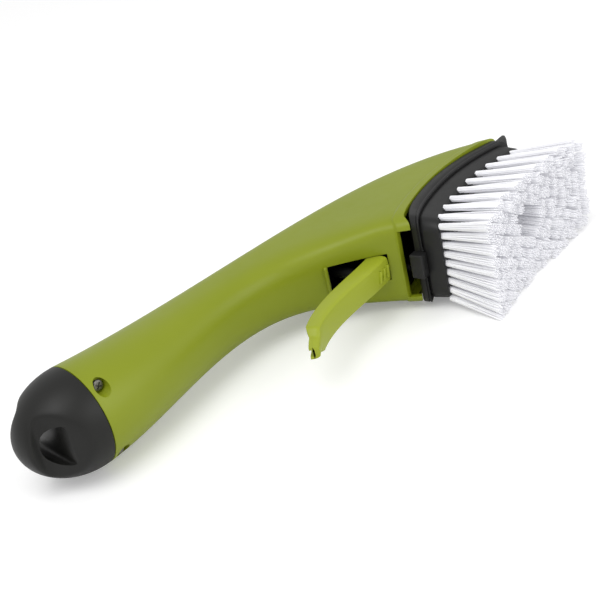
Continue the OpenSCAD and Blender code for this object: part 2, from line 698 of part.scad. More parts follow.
// Bristles: one closed skin of a thin backing and its strands.
// The backing's top is a grid in which each strand grows from one cell.
row_lines = concat([field_u0], [for (r = [0:tuft_rows - 1]) each [row_u(r) - strand / 2, row_u(r) + strand / 2]],
    [field_u1]);
function line_row(i) = max(0, min(tuft_rows - 1, floor((i - 1) / 2)));
function stagger(r) = (r % 2 == 0 ? -0.25 : 0.25) * tuft_pitch;
function column_z(j, r) =
    let (k = floor((j - 1) / 4), m = (j - 1) % 4,
         c = (k - (tufts_in_row - 1) / 2) * tuft_pitch + stagger(r))
    c + (m < 2 ? -strand_step / 2 : strand_step / 2) + (m % 2 == 0 ? -strand / 2 : strand / 2);
columns = 4 * tufts_in_row + 2;
function field_point(i, j) =
    let (u = row_lines[i], h = field_half(u), squeeze = h / field_half(field_u0))
    j == 0 ? [u, -h] : j == columns - 1 ? [u, h] : [u, column_z(j, line_row(i)) * squeeze];
function is_strand(i, j) =
    i % 2 == 1 && i < len(row_lines) - 2 && j % 2 == 1 && j < columns - 1
    && norm([row_u((i - 1) / 2) - outlet_u, column_z(j, (i - 1) / 2)]) > clear_r;
function row_len(r) = bristle_len + bristle_gain * row_u(r) / head_len;
function strand_len(i, j) = row_len((i - 1) / 2) + 0.9 * sin(97 * i + 53 * j);
function tip_point(p, centre, len) =
    let (shift = [(centre[0] - outlet_u) * 0.05 - lean * len, centre[1] * spread])
    [p[0] + shift[0], saddle_y(centre[0]) - face_n - len, p[1] + shift[1]];

// Lying place: origin under the middle of the box round the part
tip_reach = ((tufts_in_row - 0.5) / 2 * tuft_pitch + strand_step / 2) * (1 + spread) + strand / 2;
low_tips = [for (r = [0:tuft_rows - 1]) let (u = row_u(r), len = row_len(r) + 0.9)
    mouth_y + (u + (u - outlet_u) * 0.05 - lean * len) * sin(head_tilt)
    + (saddle_y(u) - face_n - len) * cos(head_tilt)];
back_y = max([for (i = [0:stations]) curve5(back_rail, i / stations)[1]]);
scraper_x = mouth_far[0] + scraper_reach * cos(head_tilt) + (frame_n + 1) * sin(head_tilt);
mid_x = (scraper_x - cap_len) / 2;
mid_y = (min(low_tips) + back_y) / 2;
ground_z = -max(tip_reach, grip_r);

module bristles() color(white) lying() at_head() difference() {
    bristle_field();
    head_rod(outlet_u, 0, face_n - 3, face_n + 3, nozzle_r + 2 * gap);
}

module bristle_field() {
    ni = len(row_lines);
    nj = columns;
    top = [for (i = [0:ni - 1]) for (j = [0:nj - 1]) let (p = field_point(i, j))
        [p[0], saddle_y(p[0]) - face_n, p[1]]];
    under = [for (i = [0:ni - 1]) each [
        [row_lines[i], saddle_y(row_lines[i]) - face_n + slice_t, -field_half(row_lines[i])],
        [row_lines[i], saddle_y(row_lines[i]) - face_n + slice_t, field_half(row_lines[i])]]];
    cells = [for (i = [0:ni - 2]) for (j = [0:nj - 2]) if (is_strand(i, j)) [i, j]];
    tips = [for (c = cells)
        let (i = c[0], j = c[1],
             q = [field_point(i, j), field_point(i, j + 1), field_point(i + 1, j + 1), field_point(i + 1, j)],
             centre = (q[0] + q[2]) / 2)
        each [for (p = q) tip_point(p, centre, strand_len(i, j))]];
    a = ni * nj;
    b = a + 2 * ni;
    flats = [for (i = [0:ni - 2]) for (j = [0:nj - 2]) if (!is_strand(i, j)) each [
        [i * nj + j, (i + 1) * nj + j + 1, (i + 1) * nj + j],
        [i * nj + j, i * nj + j + 1, (i + 1) * nj + j + 1]]];
    strands = [for (c = [0:len(cells) - 1])
        let (i = cells[c][0], j = cells[c][1], t = b + 4 * c,
             q = [i * nj + j, i * nj + j + 1, (i + 1) * nj + j + 1, (i + 1) * nj + j])
        each concat(
            [for (k = [0:3]) each [
                [q[k], q[(k + 1) % 4], t + (k + 1) % 4],
                [q[k], t + (k + 1) % 4, t + k]]],
            [[t, t + 1, t + 2], [t, t + 2, t + 3]])];
    floor_faces = [for (i = [0:ni - 2]) each [
        [a + 2 * i, a + 2 * i + 2, a + 2 * i + 3],
        [a + 2 * i, a + 2 * i + 3, a + 2 * i + 1]]];
    side0 = [for (i = [0:ni - 2]) each [
        [i * nj, (i + 1) * nj, a + 2 * i + 2],
        [i * nj, a + 2 * i + 2, a + 2 * i]]];
    side1 = [for (i = [0:ni - 2]) each [
        [i * nj + nj - 1, a + 2 * i + 1, a + 2 * i + 3],
        [i * nj + nj - 1, a + 2 * i + 3, (i + 1) * nj + nj - 1]]];
    end0 = concat([[a, a + 1, nj - 1]], [for (j = [nj - 1:-1:1]) [a, j, j - 1]]);
    last = (ni - 1) * nj;
    end1 = concat([[a + 2 * ni - 2, last + nj - 1, a + 2 * ni - 1]],
        [for (j = [1:nj - 1]) [a + 2 * ni - 2, last + j - 1, last + j]]);
    polyhedron(concat(top, under, tips), concat(flats, strands, floor_faces, side0, side1, end0, end1),
        convexity = 20);
}

handle_shell();
end_cap();
cap_seal();
cap_screws();
trigger_well();
trigger();
trigger_pin();
return_spring();
pump_barrel();
barrel_plug();
plunger();
piston_ring();
inlet_ball();
intake_tube();
delivery_tube();
nozzle();
outlet_valve();
mouth_wall();
wall_seal();
wall_screws();
head_frame();
brush_block();
block_screws();
release_latch();
latch_pin();
bristles();
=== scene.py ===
import json
import math
import random

import bmesh
import bpy
from mathutils import Matrix, Vector


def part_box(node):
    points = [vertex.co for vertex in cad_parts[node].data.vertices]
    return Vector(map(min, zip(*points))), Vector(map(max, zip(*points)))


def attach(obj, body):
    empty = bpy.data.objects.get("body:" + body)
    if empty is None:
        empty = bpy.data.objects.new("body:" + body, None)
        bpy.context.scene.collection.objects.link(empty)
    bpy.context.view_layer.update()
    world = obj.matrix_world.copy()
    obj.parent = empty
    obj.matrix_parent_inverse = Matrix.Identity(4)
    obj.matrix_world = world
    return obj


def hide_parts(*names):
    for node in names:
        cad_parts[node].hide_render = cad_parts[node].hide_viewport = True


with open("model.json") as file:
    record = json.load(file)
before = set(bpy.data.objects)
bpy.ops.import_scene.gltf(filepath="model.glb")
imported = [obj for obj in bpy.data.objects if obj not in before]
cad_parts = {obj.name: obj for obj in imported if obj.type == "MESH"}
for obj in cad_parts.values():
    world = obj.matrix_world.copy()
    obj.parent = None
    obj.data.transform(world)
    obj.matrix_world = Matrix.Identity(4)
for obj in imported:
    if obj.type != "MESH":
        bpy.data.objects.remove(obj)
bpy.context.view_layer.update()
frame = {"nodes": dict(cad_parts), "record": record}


# Hollow handle: one green polypropylene moulding, a round grip that curves and flares into
# the saddle-shaped mouth of the brush head. It is blow-moulded, so its skin is smooth and
# even, with a slot for the trigger and two drilled recesses for the cap screws.
MM = 0.001
GRIP_RADIUS = 20
NECK_HALF = 6
MOUTH_HALF = 19.6
MOUTH_CORNER = Vector((139.5, -37.7))
HEAD_TILT = math.radians(10.6)
HEAD_LENGTH = 82
SADDLE = 7
WALL = 2.2
COLLAR = 0.35
COLLAR_WIDTH = 4.6
CORNER_REACH = 3.4
RIM_STRETCH, RIM_STRETCH_BACK = 240, 72
SEAL_FROM_SEAM = 11

seal_low, seal_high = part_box("cap_seal")
SEAM = (seal_low + seal_high) / 2 - Vector((SEAL_FROM_SEAM * MM, 0, 0))
HEAD_ALONG = Vector((math.cos(HEAD_TILT), math.sin(HEAD_TILT)))
HEAD_BACK = Vector((-math.sin(HEAD_TILT), math.cos(HEAD_TILT)))
MOUTH_FAR = MOUTH_CORNER + HEAD_LENGTH * HEAD_ALONG
BACK_BULGE = MOUTH_FAR + Vector((-52.1, 58.6))
FRONT_STARTS = [Vector(p) for p in ((0, -GRIP_RADIUS), (44, -GRIP_RADIUS), (88, 14), (108, -10))]
FRONT_RAIL = FRONT_STARTS + [MOUTH_CORNER]
BACK_STARTS = [Vector(p) for p in ((0, GRIP_RADIUS), (16, GRIP_RADIUS), (90, 18))]
BACK_RAIL = BACK_STARTS + [BACK_BULGE, MOUTH_FAR]
HALF_WIDTHS = [GRIP_RADIUS, GRIP_RADIUS - 2.2, NECK_HALF, 17, MOUTH_HALF]


def on_wand(x, y, z=0.0):
    """A point given in mm from the centre of the cap seam."""
    return SEAM + Vector((x, y, z)) * MM


def curve(points, s):
    """The point at s of a Bezier curve, in metres or mm as its points are."""
    while len(points) > 1:
        points = [a * (1 - s) + b * s for a, b in zip(points, points[1:])]
    return points[0]


def eased(share):
    """A soft step from 0 to 1."""
    share = min(1.0, max(0.0, share))
    return share * share * (3 - 2 * share)


def handle_point(s, angle):
    """A point of the handle's skin: s runs from the seam to the mouth, angle goes round.
    The last millimetres are a collar, and the corners at the trigger side stand forward."""
    front, back = curve(FRONT_RAIL, s), curve(BACK_RAIL, s)
    across = (back - front).normalized()
    half = (back - front).length / 2
    squareness = 2 + 4 * s ** 2 + 6 * s ** 8
    turn = angle + 0.12 * s * math.sin(4 * angle)
    reach = (abs(math.cos(turn)) ** squareness + abs(math.sin(turn)) ** squareness) ** (-1 / squareness)
    c, w = reach * math.cos(turn), reach * math.sin(turn)
    from_rim = (1 - s) * (RIM_STRETCH + RIM_STRETCH_BACK * c)
    out = COLLAR * eased(1 - (from_rim - COLLAR_WIDTH) / 0.8)
    corner = CORNER_REACH * eased(1 - from_rim / 12) * eased((-c - 0.9) / 0.1)
    bow = SADDLE * s ** 6 * (1 - c * c) - corner
    middle = (front + back) / 2 + across * (half + out) * c + Vector((-across.y, across.x)) * bow
    return on_wand(middle.x, middle.y, (curve(HALF_WIDTHS, s) + out) * w)


def only(piece):
    """Selects one piece and nothing else."""
    bpy.ops.object.select_all(action="DESELECT")
    piece.select_set(True)
    bpy.context.view_layer.objects.active = piece


def wrapped_grid(name, rows, columns, place, layers=1):
    """A flat grid whose points are laid where place(row, column, layer) says.
    With more layers the sheet is extruded into a solid, layer by layer."""
    bpy.ops.object.select_all(action="DESELECT")
    bpy.ops.mesh.primitive_grid_add(x_subdivisions=rows, y_subdivisions=columns, size=1)
    piece = bpy.context.object
    piece.name = name
    bpy.ops.object.mode_set(mode="EDIT")
    bpy.ops.mesh.select_all(action="SELECT")
    mesh = bmesh.from_edit_mesh(piece.data)
    mesh.verts.layers.int.new("row")
    mesh.verts.layers.int.new("column")
    row, column = mesh.verts.layers.int["row"], mesh.verts.layers.int["column"]
    for v in mesh.verts:
        v[row] = round((v.co.x + 0.5) * rows)
        v[column] = round((v.co.y + 0.5) * columns)
        v.co = place(v[row], v[column], 0)
    bmesh.update_edit_mesh(piece.data)
    for layer in range(1, layers):
        bpy.ops.mesh.extrude_region_move()
        mesh = bmesh.from_edit_mesh(piece.data)
        row, column = mesh.verts.layers.int["row"], mesh.verts.layers.int["column"]
        for v in mesh.verts:
            if v.select:
                v.co = place(v[row], v[column], layer)
        bmesh.update_edit_mesh(piece.data)
    bpy.ops.mesh.select_all(action="SELECT")
    bpy.ops.mesh.remove_doubles(threshold=0.000005)
    bpy.ops.mesh.normals_make_consistent(inside=False)
    bpy.ops.object.mode_set(mode="OBJECT")
    return piece


def modified(piece, kind, **settings):
    """Adds one modifier and applies it."""
    only(piece)
    modifier = piece.modifiers.new(kind.title(), kind)
    for key, value in settings.items():
        setattr(modifier, key, value)
    bpy.ops.object.modifier_apply(modifier=modifier.name)


def cut(piece, cutter, operation="DIFFERENCE"):
    modified(piece, "BOOLEAN", operation=operation, object=cutter, solver="EXACT")
    bpy.data.objects.remove(cutter)


def block(centre, size, along=(1, 0), name="cutter"):
    """A box in mm about a point of the wand, turned so that its length runs along a direction."""
    bpy.ops.object.select_all(action="DESELECT")
    bpy.ops.mesh.primitive_cube_add(size=1, location=(0, 0, 0))
    piece = bpy.context.object
    piece.name = name
    turn = Matrix.Rotation(math.atan2(along[1], along[0]), 4, "Z")
    piece.data.transform(Matrix.Diagonal((*(Vector(size) * MM), 1)))
    piece.data.transform(Matrix.Translation(on_wand(*centre)) @ turn)
    return piece


def rod(start, end, radius, sides=48, name="cutter"):
    """A cylinder in mm between two points of the wand."""
    a, b = on_wand(*start), on_wand(*end)
    bpy.ops.object.select_all(action="DESELECT")
    bpy.ops.mesh.primitive_cylinder_add(vertices=sides, radius=radius * MM, depth=(b - a).length)
    piece = bpy.context.object
    piece.name = name
    turn = (b - a).to_track_quat("Z", "Y").to_matrix().to_4x4()
    piece.data.transform(Matrix.Translation((a + b) / 2) @ turn)
    return piece


def rounded(piece, width, segments, degrees=30):
    """Rounds the edges that turn by more than an angle, over a width in mm."""
    modified(piece, "BEVEL", width=width * MM, segments=segments, limit_method="ANGLE",
             angle_limit=math.radians(degrees))


def smooth(piece, degrees=32):
    only(piece)
    bpy.ops.object.shade_smooth_by_angle(angle=math.radians(degrees))


STATIONS, ROUND = 170, 144


def skin_point(row, column, layer):
    left = 1 - row / STATIONS
    return handle_point(1 - left * (0.3 + 0.7 * left), math.tau * column / ROUND)


handle = wrapped_grid("handle_moulding", STATIONS, ROUND, skin_point)
modified(handle, "SOLIDIFY", thickness=WALL * MM, offset=-1, use_even_offset=True)

SLOT_START, SLOT_END = curve(FRONT_RAIL, 0.785), curve(FRONT_RAIL, 0.95)
SLOT_ALONG = (SLOT_START - SLOT_END).normalized()
SLOT_IN = Vector((SLOT_ALONG.y, -SLOT_ALONG.x))
SLOT_HALF = 5.9
SLOT_CUT = 9
SLOT_SIZE = ((SLOT_START - SLOT_END).length, SLOT_CUT, 2 * SLOT_HALF)
middle = (SLOT_START + SLOT_END) / 2
cut(handle, block((middle.x, middle.y, 0), SLOT_SIZE, SLOT_ALONG))

SCREW_X, SCREW_ANGLE, SCREW_SEAT = 4.5, math.radians(43), 4.4
SCREW_RECESS, BOSS_WALL, BOSS_FLOOR = 2.9, 1.1, 1.6
for side in (-1, 1):
    z = side * GRIP_RADIUS * math.sin(SCREW_ANGLE)
    seat = -GRIP_RADIUS * math.cos(SCREW_ANGLE) + SCREW_SEAT
    boss = rod((SCREW_X, -GRIP_RADIUS, z), (SCREW_X, seat + BOSS_FLOOR, z), SCREW_RECESS + BOSS_WALL)
    cut(boss, rod((SCREW_X - 6, 0, 0), (SCREW_X + 6, 0, 0), GRIP_RADIUS - 1, 96), "INTERSECT")
    cut(handle, boss, "UNION")
    cut(handle, rod((SCREW_X, -GRIP_RADIUS - 5, z), (SCREW_X, seat, z), SCREW_RECESS))

NOTCH_HALF = 15
NOTCH_DEPTH = 1.5
NOTCH_CUT = 8
notch = MOUTH_CORNER + HEAD_BACK * (NOTCH_DEPTH - NOTCH_CUT / 2)
cut(handle, block((notch.x, notch.y, 0), (7, NOTCH_CUT, 2 * NOTCH_HALF), HEAD_ALONG))
rounded(handle, 0.5, 3, 50)
smooth(handle)


class Wire:
    """An output socket of a finish, which takes part in sums as a number does."""

    def __init__(self, finish, socket):
        self.finish = finish
        self.socket = socket

    def sum(self, operation, first, second):
        return self.finish.add("ShaderNodeMath", {"operation": operation}, {0: first, 1: second})

    def __add__(self, other):
        return self.sum("ADD", self, other)

    def __radd__(self, other):
        return self.sum("ADD", other, self)

    def __mul__(self, other):
        return self.sum("MULTIPLY", self, other)

    def __rmul__(self, other):
        return self.sum("MULTIPLY", other, self)


class Finish:
    """One material, built node by node."""

    def __init__(self, name):
        self.material = bpy.data.materials.new(name)
        self.material.use_nodes = True
        self.nodes = self.material.node_tree.nodes
        self.links = self.material.node_tree.links
        self.nodes.clear()
        self.place = self.add("ShaderNodeTexCoord", output="Object")

    def add(self, kind, settings=None, sockets=None, output=0):
        node = self.nodes.new(kind)
        for key, value in (settings or {}).items():
            setattr(node, key, value)
        for key, value in (sockets or {}).items():
            if isinstance(value, Wire):
                self.links.new(value.socket, node.inputs[key])
            else:
                node.inputs[key].default_value = value
        if output is not None:
            return Wire(self, node.outputs[output])

    def noise(self, scale, detail=2.0, roughness=0.5):
        sockets = {"Vector": self.place, "Scale": scale, "Detail": detail, "Roughness": roughness}
        return self.add("ShaderNodeTexNoise", {}, sockets)

    def blend(self, factor, first, second):
        """Mixes two colours."""
        return self.add("ShaderNodeMix", {"data_type": "RGBA"}, {0: factor, 6: first, 7: second}, output=2)

    def bump(self, height, strength, distance):
        sockets = {"Height": height, "Strength": strength, "Distance": distance}
        return self.add("ShaderNodeBump", {}, sockets)

    def done(self, **sockets):
        names = {key.replace("_", " "): value for key, value in sockets.items()}
        shader = self.add("ShaderNodeBsdfPrincipled", {}, names)
        self.add("ShaderNodeOutputMaterial", {}, {"Surface": shader}, output=None)
        return self.material


def srgb(red, green, blue):
    """A colour as it is read off a screen, turned into light."""
    return tuple((v / 255) ** 2.2 for v in (red, green, blue)) + (1.0,)


def moulded(name, colour, paler, roughness, gloss=0.35, grain=0.00002):
    """Satin moulded plastic: slight colour flow, fine mould grain and uneven gloss."""
    finish = Finish(name)
    flow = finish.noise(28, 3)
    grain_height = finish.noise(5200, 2) + 0.5 * finish.noise(900, 3)
    scuffs = finish.noise(140, 5, 0.65)
    return finish.done(
        Base_Color=finish.blend(flow, colour, paler),
        Roughness=scuffs * 0.16 + (roughness - 0.08),
        Normal=finish.bump(grain_height, 0.35, grain),
        IOR=1.49,
        Specular_IOR_Level=gloss,
    )


green = moulded("green_polypropylene", srgb(124, 136, 26), srgb(133, 144, 33), 0.4)


def dress(piece, material):
    piece.data.materials.clear()
    piece.data.materials.append(material)


dress(handle, green)
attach(handle, "handle")
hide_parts("handle_shell")

# Lip of the trigger slot: a small bead moulded across the cap end of the slot, which guides
# the trigger's tip.
lip_at = SLOT_START + SLOT_ALONG * 0.9 - SLOT_IN * 0.25
lip = block((lip_at.x, lip_at.y, 0), (1.5, 2.2, 2 * SLOT_HALF + 0.6), SLOT_ALONG, "slot_lip")
rounded(lip, 0.6, 4)
smooth(lip, 40)
dress(lip, green)
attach(lip, "handle")


# End cap: dark grey plug whose dome closes the soap reservoir. Two flat faces pinch it to a
# web, where a half-moon hole goes through for hanging the wand up, and its tip is full again.
CAP_LENGTH = 27
CAP_STRAIGHT = 1.5
PINCH_FROM_SEAM, WEB = 8.6, 6
TIP_SWELL = 3.4
HOLE_FROM_SEAM, HOLE_REACH, HOLE_WIDTH = 13.4, 7.8, 17.2
PINCH_END = HOLE_FROM_SEAM + HOLE_REACH + 0.5
CAP_ROWS, CAP_ROUND = 72, 160
STRAIGHT_ROWS = 0.05
SEAM_GROOVE = 0.6


def lesser(a, b, softness=0.8):
    """The lesser of two lengths, with a soft corner where they meet."""
    return -softness * math.log(math.exp(-a / softness) + math.exp(-b / softness))


def cap_point(row, column, layer):
    """A point of the cap: rows run from the seam to the tip, columns go round."""
    share = row / CAP_ROWS
    angle = math.tau * column / CAP_ROUND
    if share < STRAIGHT_ROWS:
        back = CAP_STRAIGHT * share / STRAIGHT_ROWS
        radius = GRIP_RADIUS - (SEAM_GROOVE if row == 0 else 0)
    else:
        rise = (share - STRAIGHT_ROWS) / (1 - STRAIGHT_ROWS) * math.pi / 2
        back = CAP_STRAIGHT + (CAP_LENGTH - CAP_STRAIGHT) * math.sin(rise)
        radius = GRIP_RADIUS * math.cos(rise)
    y, z = radius * math.cos(angle), radius * math.sin(angle)
    slope = (GRIP_RADIUS - WEB / 2) / (PINCH_END - PINCH_FROM_SEAM)
    face = max(GRIP_RADIUS - slope * (back - PINCH_FROM_SEAM), 0)
    web = WEB / 2 + TIP_SWELL * eased((back - HOLE_FROM_SEAM) / 13)
    face = -lesser(-face, -web, 1.2)
    if back > PINCH_FROM_SEAM - 6 and abs(y) > 0.01:
        y = math.copysign(max(0, min(abs(y), lesser(abs(y), face))), y)
    return on_wand(-back, y, z)


cap = wrapped_grid("end_cap_dome", CAP_ROWS, CAP_ROUND, cap_point)
SPIGOT_LENGTH, SPIGOT_SHARE = 3, 0.72
only(cap)
bpy.ops.object.mode_set(mode="EDIT")
bpy.ops.mesh.select_all(action="DESELECT")
bpy.ops.mesh.select_non_manifold()
bpy.ops.mesh.extrude_region_move(TRANSFORM_OT_translate={"value": (SPIGOT_LENGTH * MM, 0, 0)})
bpy.ops.transform.resize(value=(1, SPIGOT_SHARE, SPIGOT_SHARE), center_override=SEAM)
bpy.ops.mesh.edge_face_add()
bpy.ops.mesh.select_all(action="SELECT")
bpy.ops.mesh.normals_make_consistent(inside=False)
bpy.ops.object.mode_set(mode="OBJECT")


def rounded_outline(corners, radii, steps=8):
    """Corner points of a flat outline with each corner rounded."""
    points = []
    for k, corner in enumerate(corners):
        before, after = corners[k - 1], corners[(k + 1) % len(corners)]
        a, b = (before - corner).normalized(), (after - corner).normalized()
        half = a.angle(b) / 2
        reach = radii[k] / math.tan(half)
        start, end = corner + a * reach, corner + b * reach
        for i in range(steps + 1):
            t = i / steps
            points.append(start * (1 - t) ** 2 + corner * 2 * t * (1 - t) + end * t ** 2)
    return points


def prism(outline, low, high, name="cutter"):
    """An outline in x and z of the wand, pulled out along y, in mm."""
    bpy.ops.object.select_all(action="DESELECT")
    bpy.ops.mesh.primitive_circle_add(vertices=len(outline), radius=1, fill_type="NGON")
    piece = bpy.context.object
    piece.name = name
    for vertex, point in zip(piece.data.vertices, outline):
        vertex.co = on_wand(point.x, low, point.y)
    bpy.ops.object.mode_set(mode="EDIT")
    bpy.ops.mesh.select_all(action="SELECT")
    bpy.ops.mesh.extrude_region_move(TRANSFORM_OT_translate={"value": (0, (high - low) * MM, 0)})
    bpy.ops.mesh.select_all(action="SELECT")
    bpy.ops.mesh.normals_make_consistent(inside=False)
    bpy.ops.object.mode_set(mode="OBJECT")
    return piece


HOLE_CORNER = 1.6
hole_corners = [Vector((-HOLE_FROM_SEAM, -HOLE_WIDTH / 2)), Vector((-HOLE_FROM_SEAM, HOLE_WIDTH / 2))]
hole_radii = [HOLE_CORNER, HOLE_CORNER]
for degrees in range(66, -67, -6):
    a = math.radians(degrees)
    hole_corners.append(Vector((-HOLE_FROM_SEAM - HOLE_REACH * math.cos(a), HOLE_WIDTH / 2 * math.sin(a))))
    hole_radii.append(0.05)
hole = rounded_outline(hole_corners, hole_radii, 6)
cut(cap, prism(hole, -30, 30))
rounded(cap, 0.7, 4, 42)
smooth(cap, 40)
charcoal = moulded("charcoal_moulding", srgb(29, 29, 28), srgb(36, 36, 34), 0.44, 0.3)
dress(cap, charcoal)
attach(cap, "handle")
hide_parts("end_cap")


# Cap screws: two cross-head steel screws, deep in their recesses, which pass through the
# handle's wall and hold the end cap's plug.
SCREW_HEAD, HEAD_HEIGHT, SHANK = 2.1, 1.7, 1.2
CROSS_SIZE = (2.7, 1.6, 0.5)
CROSS_TURN = 0.6


def laid(piece, place, turn):
    """Moves a piece that was made at the seam's centre to its place, turned."""
    piece.data.transform(Matrix.Translation(-on_wand(0, 0)))
    piece.data.transform(Matrix.Translation(on_wand(*place)) @ turn)


screws = []
for name, side in (("upper", 1), ("lower", -1)):
    z = side * GRIP_RADIUS * math.sin(SCREW_ANGLE)
    seat = -GRIP_RADIUS * math.cos(SCREW_ANGLE) + SCREW_SEAT
    screw = rod((SCREW_X, seat - HEAD_HEIGHT, z), (SCREW_X, seat, z), SCREW_HEAD, 40, f"cap_screw_{name}")
    rounded(screw, 0.5, 4, 60)
    for turn in (CROSS_TURN, CROSS_TURN + math.pi / 2):
        groove = block((0, 0, 0), CROSS_SIZE)
        laid(groove, (SCREW_X, seat - HEAD_HEIGHT, z), Matrix.Rotation(turn, 4, "Y"))
        cut(screw, groove)
    cut(screw, rod((SCREW_X, seat - 0.1, z), (SCREW_X, seat + 5, z), SHANK, 24), "UNION")
    smooth(screw, 35)
    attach(screw, "handle")
    screws.append(screw)
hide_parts("cap_screws")

# Trigger: green channel-section lever on a pin inside the slot. Its outer face is arched for
# the finger, with three slanted grip ribs by the hinge. Its cheeks end in round shoulders,
# and a narrow hooked tongue goes on from there.
PIN = SLOT_END + Vector((-1.7, 8.2))
BLADE = [PIN + Vector(p) for p in ((-0.6, -5.7), (-19, -11.3), (-43, -9.4), (-61, -26.6))]
TRIGGER_HALF = 5.6
TRIGGER_WALL = 1.7
TONGUE_HALF = 2.9
SHOULDER = 0.86
CREST, CREST_FALL = 3.5, 1.3


def blade_frame(t):
    """Place on the blade's middle line, its direction and the direction away from the handle."""
    spot = curve(BLADE, t)
    along = (curve(BLADE, min(1, t + 0.01)) - curve(BLADE, max(0, t - 0.01))).normalized()
    return spot, along, Vector((-along.y, along.x))


def channel(half, cheek, wall):
    """Outline of the arched channel as (across, outward) pairs, outside first and then inside."""
    angles = [math.radians(degrees) for degrees in range(-60, 61, 12)]
    crown = [(half * math.sin(a), 1.1 * math.cos(a)) for a in angles]
    edge = half * math.sin(math.radians(60))
    outside = [(-half, -cheek), (-half, -cheek * 0.5), (-half, -1.6)]
    outside += [(-half + 0.12, -0.7), (-half + 0.35, -0.05)]
    outside += [(z * 0.98 * (half - 0.7) / edge, 0.15 + out * 0.75) for z, out in crown]
    outside += [(-z, out) for z, out in outside[4::-1]]
    inner = half - wall
    inside = [(inner, -cheek), (inner, -cheek * 0.6), (inner, -wall - 0.3), (inner - 0.3, -wall)]
    inside += [(-z, out) for z, out in inside[::-1]]
    return outside + inside


TRIGGER_STEPS = 90
CHANNEL_POINTS = len(channel(TRIGGER_HALF, 5, TRIGGER_WALL))


def trigger_point(row, column, layer):
    """A point of the lever: rows run from the hinge to the tip, columns follow the channel."""
    t = row / TRIGGER_STEPS
    spot, along, outward = blade_frame(t)
    past = eased((t - SHOULDER) / 0.06)
    half = TRIGGER_HALF + (TONGUE_HALF - TRIGGER_HALF) * past - 0.5 * eased((t - 0.93) / 0.07)
    cheek = 7 - 2.6 * t - 1.4 * past
    wall = TRIGGER_WALL - 0.7 * past
    z, out = channel(half, cheek, wall)[column % CHANNEL_POINTS]
    crest = CREST - CREST_FALL * t - 0.75
    place = spot + outward * (crest + out)
    return on_wand(place.x, place.y, z)


trigger = wrapped_grid("trigger_lever", TRIGGER_STEPS, CHANNEL_POINTS, trigger_point)
only(trigger)
bpy.ops.object.mode_set(mode="EDIT")
bpy.ops.mesh.select_all(action="DESELECT")
bpy.ops.mesh.select_non_manifold()
bpy.ops.mesh.edge_face_add()
bpy.ops.mesh.select_all(action="SELECT")
bpy.ops.mesh.normals_make_consistent(inside=False)
bpy.ops.object.mode_set(mode="OBJECT")
rounded(trigger, 0.3, 2, 60)
smooth(trigger, 42)
lever_green = moulded("lever_green", srgb(146, 157, 40), srgb(154, 165, 48), 0.4)
dress(trigger, lever_green)
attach(trigger, "trigger")
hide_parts("trigger")

RIB_LENGTH, RIB_WIDTH, RIB_HEIGHT = 4.8, 1.35, 2.1
RIB_SLANT = math.radians(-18)
for number, t in enumerate((0.035, 0.08, 0.125), 1):
    spot, along, outward = blade_frame(t)
    place = spot + outward * (CREST - CREST_FALL * t)
    rib = block((0, 0, 0), (RIB_WIDTH, RIB_HEIGHT, RIB_LENGTH), (1, 0), f"grip_rib_{number}")
    turn = Matrix.Rotation(math.atan2(along.y, along.x), 4, "Z") @ Matrix.Rotation(RIB_SLANT, 4, "Y")
    laid(rib, (place.x, place.y), turn)
    rounded(rib, 0.3, 3)
    smooth(rib, 40)
    dress(rib, lever_green)
    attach(rib, "trigger")

# Brush head: dark grey moulding of a flange that closes the mouth, a block that holds the
# tufts, and a scraper lip at the far end. It clips over the mouth and pulls off.
TOE_HALF = 18.2
LATCH_END_BLOCK = 1.2
SADDLE_RADIUS = (HEAD_LENGTH ** 2 / 4 + SADDLE ** 2) / (2 * SADDLE)


def saddle(u):
    """How far the mouth's curve stands back at u, in mm."""
    return SADDLE - SADDLE_RADIUS + math.sqrt(SADDLE_RADIUS ** 2 - (u - HEAD_LENGTH / 2) ** 2)


def on_head(u, n, z):
    """A point of the head: u along the mouth, n towards the bristles, z across, in mm.
    By the latch the whole head stands a little further forward."""
    fade = (CORNER_REACH - LATCH_END_BLOCK) * min(1, n / 6)
    forward = max(0, 1 - u / 16) ** 2 * (CORNER_REACH - fade)
    spot = MOUTH_CORNER + HEAD_ALONG * u + HEAD_BACK * (saddle(u) - n - forward)
    return on_wand(spot.x, spot.y, z)


def head_half(u):
    """Half the head's width at u, in mm."""
    return MOUTH_HALF - (MOUTH_HALF - TOE_HALF) * max(0, (u / HEAD_LENGTH - 0.45) / 0.55) ** 1.6


def head_stations(inset, near, far, straight=26, arc=10):
    """(u, half width) along the head's outline, with its corners rounded."""
    low, high = inset, HEAD_LENGTH - inset
    near, far = max(0.8, near - inset / 2), max(0.8, far - inset / 2)
    stations = []
    for i in range(arc):
        a = math.pi / 2 * i / arc
        stations.append((low + near * (1 - math.cos(a)), -near * (1 - math.sin(a))))
    for i in range(straight + 1):
        stations.append((low + near + (high - far - low - near) * i / straight, 0))
    for i in range(1, arc + 1):
        a = math.pi / 2 * i / arc
        stations.append((high - far * (1 - math.sin(a)), -far * (1 - math.cos(a))))
    return [(u, head_half(u) - inset + less) for u, less in stations]


def head_slab(name, layers, near=4.5, far=4):
    """A slab of the head from (level, inset) layers, curved along the saddle."""
    rows = len(head_stations(0, near, far)) - 1
    across = 12
    outlines = [head_stations(inset, near, far) for _, inset in layers]

    def place(row, column, layer):
        u, half = outlines[layer][row]
        return on_head(u, layers[layer][0], half * (2 * column / across - 1))

    return wrapped_grid(name, rows, across, place, len(layers))


